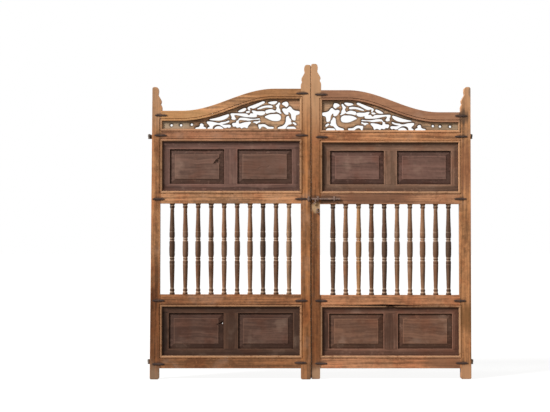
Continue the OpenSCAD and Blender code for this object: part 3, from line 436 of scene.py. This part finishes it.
# A painted shadow in the gap where the two leaves meet.
MEETING_GAP_SHADE = (0.0, 0.2, 7.5, 2400, "#33200f", 0.9)
STAINS_AND_SHADES = {
    "left_top_rail": [(-0.95, 1.93, 260, 90, "#c79764", 0.6), (-0.28, 2.11, 280, 90, "#946640", 0.6)],
    "left_inner_stile": [MEETING_GAP_SHADE],
    "right_head_rail": [(0.45, 1.33, 420, 60, "#6d4b3a", 0.75), (0.115, 1.327, 120, 42, "#38281f", 0.6)],
    "right_inner_stile": [(0.042, 1.262, 48, 52, "#c9a981", 0.7), (0.03, 1.335, 60, 26, "#3d2e27", 0.4),
                          (0.055, 0.04, 60, 60, "#b28c6c", 0.7), MEETING_GAP_SHADE],
    "right_outer_stile": [(1.115, 1.93, 60, 75, "#3d352f", 0.7), (1.145, 0.05, 70, 70, "#bb8c68", 0.8),
                          (1.145, 0.45, 70, 130, "#74502f", 0.75), (1.14, 1.56, 70, 220, "#85563f", 0.5),
                          # painted shade on the right side of the outer finial
                          (1.172, 2.11, 15, 45, "#75655a", 0.6)],
    "right_foot_rail": [(0.56, 0.538, 190, 16, "#4a2d23", 0.75)],
    "right_bottom_rail": [(1.0, 0.13, 240, 70, "#79533c", 0.75)],
}

# The beads round the openings, rubbed pale. Beside the outer stile the carving's opening is low.
BEAD_TONE = "#be9673"
RUBBED_BEADS = {"lower_panel_frame": 0.45, "upper_panel_frame": 0.4, "fretwork": 0.45}
FRET_LOW_END_MM = 68
BAND_SOFT_MM = 1.5

BOARD_EASED_MM = 1.4
MEETING_STILE_EASED_MM = 0.6
RING_BOARD = "right_inner_stile"     # the ring's eye goes through its face, and its arrises stay as planed


def beads_on(node):
    """The bead round each opening beside a board."""
    leaf, piece = node.split("_", 1)
    beads = []
    for filling, rubbed in RUBBED_BEADS.items():
        low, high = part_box(leaf + "_" + filling)
        top = high.z
        if filling == "fretwork" and piece == "top_rail":
            continue
        if filling == "fretwork" and piece == "outer_stile":
            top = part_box(leaf + "_waist_rail")[1].z + FRET_LOW_END_MM * MM
        beads.append((low.x, high.x, low.z, top, -LIP_MM, 0.4 * LIP_MM, BAND_SOFT_MM, BEAD_TONE, rubbed))
    return beads


spots_of = {leaf: cramp_spots(leaf + "_iron_cramps") for leaf in LEAVES}
for seed, (node, (tone, damp, sun)) in enumerate(BOARDS.items()):
    leaf, piece = node.split("_", 1)
    marks_left = [spot + CRAMP_STAIN for spot in spots_on(node, spots_of[leaf])] + STAINS_AND_SHADES.get(node, [])
    dress(node, old_teak("oiled_teak_" + node, "z" if "stile" in piece else "x", tone, seed * 3.7,
                         spot_marks=marks_left, bands=beads_on(node), sun=sun, damp=damp,
                         **(QUIET if node in QUIET_BOARDS else LIVELY)))
    if node != RING_BOARD:
        ease_arrises(node, MEETING_STILE_EASED_MM if piece == "inner_stile" else BOARD_EASED_MM)

# Inner frames and raised panels: old dark stain gone dull and dusty. The panels' grain lies across.
PANELS = {"left_upper": ("#71544a", "#72564a"), "left_lower": ("#50392d", "#5d4439"),
          "right_upper": ("#7f604e", "#6f5248"), "right_lower": ("#6e4e3f", "#735342")}
DARK_MEMBERS = {
    "right_upper": [(0.085, 1.56, 50, 230, "#33241a", 0.6)],
    "left_lower": [(-0.59, 0.35, 75, 200, "#3c281e", 0.5), (-1.085, 0.35, 45, 230, "#22150d", 0.8)],
    "right_lower": [(0.585, 0.35, 75, 200, "#452e23", 0.6), (0.09, 0.35, 50, 230, "#2f1f17", 0.7)],
}
PANEL_MARKS = {
    "left_upper_panel_outer": [(-0.686, 1.606, 20, 17, "#2e1f17", 0.8)],
    "left_upper_panel_inner": [(-0.36, 1.57, 260, 170, "#5a4236", 0.45)],
}
RUBBED_RIMS = {"upper": 0.4, "lower": 0.55}
FRAME_RAILS_MM = {"upper": (60, 66), "lower": (58, 54)}     # heights of the lower and the upper rail
# Painted shade with grime: darker along the frame's edge beside the lips, and over the panels' bevels.
FRAME_SHADE_AND_GRIME = (-24, 10, 30, "#2a1a13", 0.5)
BEVEL_SHADE_AND_GRIME = (1, 60, BAND_SOFT_MM, "#2a1912", 0.5)
TONGUE_MM = 8
BEVEL_MM = 38
RIM_BAND_MM = (0, 5)
FIELD_EDGE_MM = (-4, -0.5)
PANEL_EASED_MM = 1.0


def rim_of(panel, inset):
    """The rectangle of a panel, drawn in from the edge of its tongue by some millimetres."""
    low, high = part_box(panel)
    return low.x + inset * MM, high.x - inset * MM, low.z + inset * MM, high.z - inset * MM


for seed, (place, (frame_tone, field_tone)) in enumerate(PANELS.items()):
    frame_node = place + "_panel_frame"
    level = place.split("_")[1]
    low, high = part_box(frame_node)
    lower_rail, upper_rail = FRAME_RAILS_MM[level]
    panels = [place + "_panel_outer", place + "_panel_inner"]
    rubbed = RIM_BAND_MM + (BAND_SOFT_MM, shade_of(frame_tone, 1.3), RUBBED_RIMS[level])
    bands = [(low.x, high.x, low.z, high.z) + FRAME_SHADE_AND_GRIME] + [rim_of(p, TONGUE_MM) + rubbed for p in panels]
    dress(frame_node, old_teak("stained_teak_" + frame_node, "z", frame_tone, 60 + seed * 4.1, deep=0.85,
                               pale=1.12, rails=(low.z + lower_rail * MM, high.z - upper_rail * MM),
                               bands=bands, bloom=0.06, spot_marks=DARK_MEMBERS.get(place, ()), sway=12,
                               corner=0.85, streak=0.12, split=0.2))
    ease_arrises(frame_node, PANEL_EASED_MM)
    for k, panel in enumerate(panels):
        field = rim_of(panel, TONGUE_MM + BEVEL_MM)
        worn_edge = FIELD_EDGE_MM + (BAND_SOFT_MM, shade_of(field_tone, 1.25), 0.45)
        bands = [field + BEVEL_SHADE_AND_GRIME, field + worn_edge]
        dress(panel, old_teak("stained_teak_" + panel, "x", field_tone, 80 + seed * 5.3 + 2.2 * k, deep=0.86,
                              pale=1.12, bands=bands, spot_marks=PANEL_MARKS.get(panel, ()), bloom=0.08,
                              corner=0.9, streak=0.15, split=0.2, sway=22))
        ease_arrises(panel, PANEL_EASED_MM, sharper_than=BEVEL_ANGLE)

# Turned spindles: radius and distance under the head rail, in millimetres, cut by the turner.
TURNING = [
    (19.5, 0), (19.5, 5), (16.5, 10), (15.6, 14), (15.8, 16), (17.6, 20), (18.2, 24), (17.4, 28), (15.2, 33),
    (14.3, 38), (14.2, 46), (14.5, 60), (15.6, 110), (17.4, 160), (19.1, 203), (17.4, 206), (19.2, 209),
    (19.9, 232), (19.6, 244), (18.6, 249), (15.9, 253), (15.9, 256), (17.8, 259), (18.2, 262), (17.8, 265),
    (15.9, 268), (15.9, 271), (18.8, 276), (20.4, 284), (21, 318), (20.9, 345), (20.5, 376), (19.4, 387),
    (18.4, 391), (16.2, 395), (16.2, 398), (17.7, 401), (18.1, 406), (17.7, 411), (16, 414), (16, 417),
    (18.6, 422), (19.4, 430), (19.3, 442), (17.7, 444.5), (19.1, 447), (17.4, 520), (15.8, 580), (14.4, 617),
    (14.2, 622), (15.2, 627), (17.2, 632), (17.7, 637), (16.8, 642), (15, 647), (16.2, 651), (18.6, 657),
    (19.5, 662), (19.5, 669)]
TURNED_MM = 669
PEG_R_MM = 10
PEG_MM = 19.5
PEG_BORE_MM = 20
SHOULDER_MM = 0.05
STEPS_ROUND = 40
NECK_MM = 15                         # how far along the turning a bead is measured against its neighbours
CURVE_MM = 12                        # stretches longer than this are curves, shorter ones are straight cuts
STEP_MM = 6
KNOCKS = 5
WEAR_MM = 0.7
SPINDLE_TONES = {"dark": "#5a4333", "brown": "#6f503b", "warm": "#815f46", "pale": "#96755a",
                 "golden": "#9e7550"}
SPINDLES = {                         # counted from the outer stile
    "left": ("dark", "brown", "brown", "brown", "warm", "brown", "warm", "dark", "brown", "pale"),
    "right": ("dark", "brown", "warm", "warm", "warm", "dark", "brown", "golden", "warm", "dark"),
}


def turned_profile():
    """The turning with its long curves cut into short steps."""
    fine = []
    last = len(TURNING) - 1
    for i in range(last):
        a, b, c, d = (TURNING[max(0, min(last, i + k))] for k in (-1, 0, 1, 2))
        steps = max(1, min(8, round((c[1] - b[1]) / STEP_MM)))
        for j in range(steps):
            t = j / steps
            if c[1] - b[1] > CURVE_MM:
                fine.append([(2 * b[k] + (c[k] - a[k]) * t + (2 * a[k] - 5 * b[k] + 4 * c[k] - d[k]) * t * t
                              + (3 * b[k] - 3 * c[k] + d[k] - a[k]) * t ** 3) / 2 for k in (0, 1)])
            else:
                fine.append([b[k] + (c[k] - b[k]) * t for k in (0, 1)])
    fine.append(list(TURNING[last]))
    return fine


def girth_at(down):
    """Radius of the turning some millimetres under the head rail."""
    for (r0, d0), (r1, d1) in zip(TURNING, TURNING[1:]):
        if d0 <= down <= d1:
            return r0 + (r1 - r0) * (down - d0) / max(0.01, d1 - d0)
    return TURNING[0][0]


def turn_spindle(node, finish, seed):
    """A spindle off the lathe that has since shrunk a little oval, bowed and been knocked."""
    low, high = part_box(node)
    middle = (low + high) / 2
    head, foot = high.z - PEG_BORE_MM * MM, low.z + PEG_BORE_MM * MM
    draw = random.Random(seed)
    bow = [draw.uniform(-1.6, 1.6), draw.uniform(-0.8, 0.8)]
    oval, lean = draw.uniform(0.004, 0.014), draw.uniform(0, math.pi)
    knocks = [(draw.uniform(0, 2 * math.pi), draw.uniform(60, 610), draw.uniform(8, 16),
               draw.uniform(0.8, 2.4)) for _ in range(KNOCKS)]
    outline = [(0, -PEG_MM), (PEG_R_MM, -PEG_MM), (PEG_R_MM, -SHOULDER_MM)] + turned_profile()
    outline += [(PEG_R_MM, TURNED_MM + SHOULDER_MM), (PEG_R_MM, TURNED_MM + PEG_MM), (0, TURNED_MM + PEG_MM)]
    build = bmesh.new()
    girth = build.verts.layers.float.new("girth_mm")
    bead = build.verts.layers.float.new("bead_mm")
    rings = []
    for r, down in outline:
        around = [girth_at(down + k * NECK_MM / 6) for k in range(-6, 7)]
        stands_out = girth_at(down) - sum(around) / len(around)
        share = max(0.0, min(1.0, down / TURNED_MM))
        swing = math.sin(math.pi * share)
        z = head - down * (head - foot) / TURNED_MM
        if r == 0:
            rings.append([build.verts.new((middle.x, middle.y, z))])
            continue
        ring = []
        for k in range(STEPS_ROUND):
            turn = 2 * math.pi * k / STEPS_ROUND
            reach = r * (1 + swing * oval * math.cos(2 * turn + lean))
            wear = noise.noise((math.cos(turn) * 1.3 + seed, math.sin(turn) * 1.3, down / 30))
            reach -= swing ** 0.3 * max(0.0, wear) * WEAR_MM
            for at, depth, size, deep in knocks:
                aside = math.atan2(math.sin(turn - at), math.cos(turn - at)) * r
                gap = math.hypot(aside, down - depth) / size
                if gap < 1:
                    reach -= deep * (1 - gap * gap) ** 2
            made = build.verts.new((middle.x + (reach * math.cos(turn) + bow[0] * swing) * MM,
                                    middle.y + (reach * math.sin(turn) + bow[1] * swing) * MM, z))
            made[girth] = r
            made[bead] = stands_out
            ring.append(made)
        rings.append(ring)
    for upper, lower in zip(rings, rings[1:]):
        for k in range(STEPS_ROUND):
            n = (k + 1) % STEPS_ROUND
            if len(upper) == 1:
                build.faces.new((upper[0], lower[k], lower[n]))
            elif len(lower) == 1:
                build.faces.new((upper[k], lower[0], upper[n]))
            else:
                build.faces.new((upper[k], lower[k], lower[n], upper[n]))
    bmesh.ops.recalc_face_normals(build, faces=build.faces)
    shape = bpy.data.meshes.new(node + "_turned")
    build.to_mesh(shape)
    build.free()
    shape.shade_smooth()
    shape.materials.append(finish)
    piece = bpy.data.objects.new(node + "_turned", shape)
    scene.collection.objects.link(piece)
    return piece


spindle_finish = {
    name: old_teak("turned_teak_" + name, "z", tone, 120 + 6.1 * k, deep=0.8, pale=1.15, rub=0.15,
                   corner=0.25, bloom=0.1, split=0.3, turned=True, rough=0.55)
    for k, (name, tone) in enumerate(SPINDLE_TONES.items())}
FIRST_SEED = {"left": 0, "right": 40}
for leaf in LEAVES:
    for n, name in enumerate(SPINDLES[leaf], 1):
        node = "%s_spindle_%d" % (leaf, n)
        piece = turn_spindle(node, spindle_finish[name], n + FIRST_SEED[leaf])
        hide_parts(node)
        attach(piece, leaf + "_leaf")

# Pierced carving: the sawn board is rounded over by the gouge, on the front more than on the back.
VOXEL_MM = 2.2
ROUND_FRONT_MM = (8.0, 6.5)          # how far in from an outline, and how deep at the outline
ROUND_BACK_MM = (3.0, 2.5)
FACE_MM = 2.0                        # what lies this near a face belongs to it
WALL_MM = 7.0                        # what lies deeper than this is the wall of an opening
CHIPPED_MM = 8.0                     # the gouge's flats reach this deep
FLAT_MM = 0.5
FAR_FROM_RIM_MM = 40.0


def carve(node, finish):
    """A carved board that stands for the sawn one."""
    sawn = bpy.data.objects.new(node + "_sawn", nodes[node].data.copy())
    scene.collection.objects.link(sawn)
    weld = sawn.modifiers.new("one_skin", "WELD")
    weld.merge_threshold = SAME_PLACE
    cut = sawn.modifiers.new("cut", "REMESH")
    cut.mode = "VOXEL"
    cut.voxel_size = VOXEL_MM * MM
    bpy.context.view_layer.update()
    shape = bpy.data.meshes.new_from_object(sawn.evaluated_get(bpy.context.evaluated_depsgraph_get()))
    bpy.data.objects.remove(sawn)
    shape.name = node + "_carved"
    wall_from, wall_to = CARVING_FRONT + WALL_MM * MM, CARVING_BACK - WALL_MM * MM
    walls = [v.co for v in shape.vertices if wall_from < v.co.y < wall_to]
    tree = kdtree.KDTree(len(walls))
    for i, co in enumerate(walls):
        tree.insert((co.x, co.z, 0), i)
    tree.balance()
    rounded_faces = ((CARVING_FRONT, 1, ROUND_FRONT_MM), (CARVING_BACK, -1, ROUND_BACK_MM))
    rim = []
    for v in shape.vertices:
        gap = tree.find((v.co.x, v.co.z, 0))[2] / MM
        rim.append(gap if v.co.y < CARVING_FRONT + FACE_MM * MM else FAR_FROM_RIM_MM)
        for face_y, way, (reach, deep) in rounded_faces:
            if abs(v.co.y - face_y) < FACE_MM * MM and gap < reach:
                share = 1 - gap / reach
                v.co.y += way * deep * (1 - math.sqrt(max(0.0, 1 - share * share))) * MM
        if v.co.y < CARVING_FRONT + CHIPPED_MM * MM:
            v.co.y += FLAT_MM * MM * abs(noise.noise(v.co * 60))
    shape.attributes.new("rim_mm", "FLOAT", "POINT").data.foreach_set("value", rim)
    shape.shade_smooth()
    shape.materials.clear()
    shape.materials.append(finish)
    piece = bpy.data.objects.new(node + "_carved", shape)
    scene.collection.objects.link(piece)
    soften = piece.modifiers.new("sanded", "SMOOTH")
    soften.factor = 0.5
    soften.iterations = 2
    return piece


low_ends = [(-1.03, 1.87, 190, 60, "#b29e86", 0.75), (1.02, 1.86, 190, 60, "#9a876f", 0.65)]
carved_finish = old_teak("carved_teak_fretwork", "x", "#ad8a6b", 151.0, deep=0.7, pale=1.18, spot_marks=low_ends,
                         bloom=0.08, rub=0.1, carved=True)
for leaf in LEAVES:
    piece = carve(leaf + "_fretwork", carved_finish)
    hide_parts(leaf + "_fretwork")
    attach(piece, leaf + "_leaf")

# Irons: what hands reach is rubbed paler than what only holds the joints. Their pale arrises also
# carry a painted highlight, brightest on the handled irons.
driven = forged_iron("forged_iron_driven", 3.0, ("#251a17", "#3b2b25", "#5f4233"), "#87746a", 0.4)
handled = forged_iron("forged_iron_handled", 11.0, ("#54413a", "#80685c", "#967460"), "#e0cdbf", 0.9)
hung = forged_iron("forged_iron_hung", 7.0, ("#443d38", "#655c54", "#7c6c5c"), "#b3a99f", 0.6)
IRONS = {"left_iron_cramps": driven, "right_iron_cramps": driven,
         "left_hinge_eyes": hung, "right_hinge_eyes": hung, "left_pintles": hung, "right_pintles": hung,
         "latch_bolt": handled, "bolt_guides": handled, "bolt_keeper": handled,
         "pull_ring": handled, "pull_ring_eye": handled}
ROUND_IRONS = ("pull_ring", "pull_ring_eye")
IRON_EASED_MM = 0.9
for node, finish in IRONS.items():
    dress(node, finish)
    if node not in ROUND_IRONS:
        ease_arrises(node, IRON_EASED_MM)


# Floor and surroundings: white to the eye and in gloss, plainer and darker in the light that they give.
def seen_by_eye(tree):
    """One where the camera looks straight, or by way of gloss or glass, and nought elsewhere."""
    rays = add(tree, "LightPath").outputs
    seen = add(tree, "Math", {"operation": "MAXIMUM"}, i0=rays["Is Camera Ray"], i1=rays["Is Glossy Ray"])
    return add(tree, "Math", {"operation": "MAXIMUM"}, i0=seen.outputs[0],
               i1=rays["Is Transmission Ray"]).outputs[0]


FLOOR_HALF = 30
corners = [(x * FLOOR_HALF, y * FLOOR_HALF, 0) for x, y in ((-1, -1), (1, -1), (1, 1), (-1, 1))]
floor_shape = bpy.data.meshes.new("floor")
floor_shape.from_pydata(corners, [], [(0, 1, 2, 3)])
floor = bpy.data.objects.new("floor", floor_shape)
scene.collection.objects.link(floor)
paper, tree = new_finish("matt_paper_floor")
white = add(tree, "Emission", Color=(1, 1, 1, 1), Strength=0.88)
lit = add(tree, "BsdfDiffuse", Color=srgb("#676766"))
both = add(tree, "AddShader", i0=white.outputs[0], i1=lit.outputs[0])
plain = add(tree, "BsdfDiffuse", Color=srgb("#7d7b78"))
pick = add(tree, "MixShader", i0=seen_by_eye(tree), i1=plain.outputs[0], i2=both.outputs[0])
add(tree, "OutputMaterial", Surface=pick.outputs[0])
floor_shape.materials.append(paper)

world = bpy.data.worlds.new("studio")
scene.world = world
world.use_nodes = True
tree = world.node_tree
tree.nodes.clear()
backdrop = add(tree, "Background", Color=(1, 1, 1, 1), Strength=1.0)
ambient = add(tree, "Background", Color=srgb("#fbf6ee"), Strength=0.36)
pick = add(tree, "MixShader", i0=seen_by_eye(tree), i1=ambient.outputs[0], i2=backdrop.outputs[0])
add(tree, "OutputWorld", Surface=pick.outputs[0])


def far_lamp(name, towards, strength, spread):
    """A far soft lamp: the way to it from the gate, its strength, and how wide it looks in degrees."""
    made = bpy.data.lights.new(name, "SUN")
    made.energy = strength
    made.angle = math.radians(spread)
    lamp = bpy.data.objects.new(name, made)
    lamp.rotation_euler = (-Vector(towards)).to_track_quat("-Z", "Y").to_euler()
    scene.collection.objects.link(lamp)


far_lamp("key_upper_left", (-0.66, -0.38, 0.65), 5.2, 12)
far_lamp("rear_fill", (0.45, 0.75, 0.5), 1.0, 50)

# The camera stands square before the gate, a little below its middle, and looks up very slightly.
IMAGE = (550, 412)
MM_PER_PIXEL = 7.353
AIM = Vector((-0.2654, WOOD_FRONT, 1.272))
DISTANCE = 7.5
TILT = math.radians(1.0)
SENSOR_MM = 36
eye = bpy.data.cameras.new("eye")
eye.sensor_fit = "HORIZONTAL"
eye.sensor_width = SENSOR_MM
eye.lens = SENSOR_MM * DISTANCE / math.cos(TILT) / (MM_PER_PIXEL * MM * IMAGE[0])
camera = bpy.data.objects.new("eye", eye)
camera.location = AIM - DISTANCE * Vector((0, 1, math.tan(TILT)))
camera.rotation_euler = (math.pi / 2 + TILT, 0, 0)
scene.collection.objects.link(camera)
scene.camera = camera

scene.view_settings.view_transform = "Standard"
